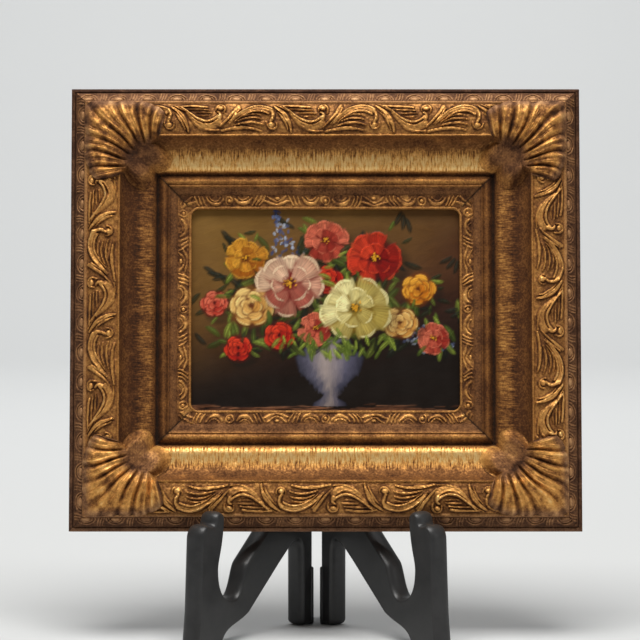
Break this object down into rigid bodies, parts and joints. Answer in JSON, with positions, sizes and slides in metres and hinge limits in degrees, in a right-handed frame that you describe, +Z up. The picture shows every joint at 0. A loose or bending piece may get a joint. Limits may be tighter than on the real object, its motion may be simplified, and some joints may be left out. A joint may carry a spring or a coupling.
{
  "type": "framed oil painting",
  "caption": "Small still-life oil painting in a deep gilt frame with carved scrolls and corner leaves, leaning on a black tabletop stand",
  "frame": {"origin": "middle of the underside of the whole, on the table", "axes": "+Z up, the picture faces -Y and leans back against the posts of the stand, +X to the viewer's right"},
  "size_m": [0.368, 0.1426, 0.3941],
  "materials": {
    "gilt_wood": "worn gold leaf over red-brown ground on carved wood",
    "gilt_leaf": "worn gold leaf on carved corner leaves",
    "painting": "oil paint with raised strokes, aged varnish, on a wooden panel",
    "black_stand": "satin moulded black"
  },
  "bodies": {
    "root": {"frame_top_rail": "gilt_wood", "frame_right_rail": "gilt_wood", "frame_bottom_rail": "gilt_wood", "frame_left_rail": "gilt_wood", "corner_leaf_top_left": "gilt_leaf", "corner_leaf_top_right": "gilt_leaf", "corner_leaf_bottom_left": "gilt_leaf", "corner_leaf_bottom_right": "gilt_leaf", "painted_panel": "painting", "stand_left_half": "black_stand", "stand_right_half": "black_stand"}
  },
  "joints": []
}
